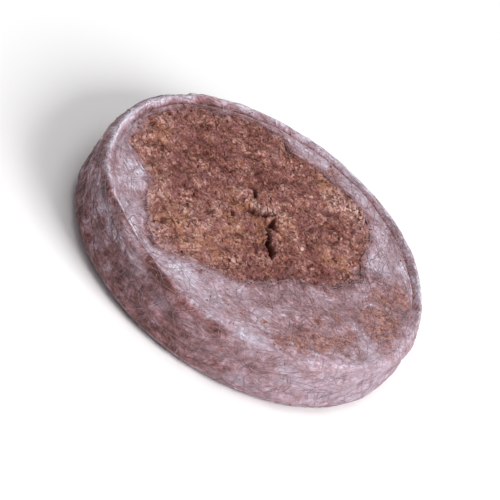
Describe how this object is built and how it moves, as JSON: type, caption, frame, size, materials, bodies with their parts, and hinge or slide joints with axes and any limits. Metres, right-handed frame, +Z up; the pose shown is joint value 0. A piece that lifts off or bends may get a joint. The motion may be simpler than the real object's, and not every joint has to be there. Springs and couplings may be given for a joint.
{
  "type": "peat pellet",
  "caption": "Dry compressed peat disc for starting seeds, in a thin fleece sleeve folded over both faces, with bare peat and a planting slit in the open window on top.",
  "frame": {"origin": "middle of the flat underside, on the surface that the pellet lies on", "axes": "+Z up through the thickness towards the face with the planting slit; -Y towards the viewer, so +X is to the viewer's right"},
  "size_m": [0.0424, 0.0422, 0.0079],
  "materials": {
    "pressed_peat": "rough red-brown milled peat, pressed dry, with crumbs, fibres and a dark ragged planting slit",
    "fleece": "thin non-woven fleece, lilac grey, mottled by brown peat dust, with faint wrinkles round the wall"
  },
  "bodies": {
    "root": {"peat_plug": "pressed_peat", "fleece_sleeve": "fleece"}
  },
  "joints": []
}
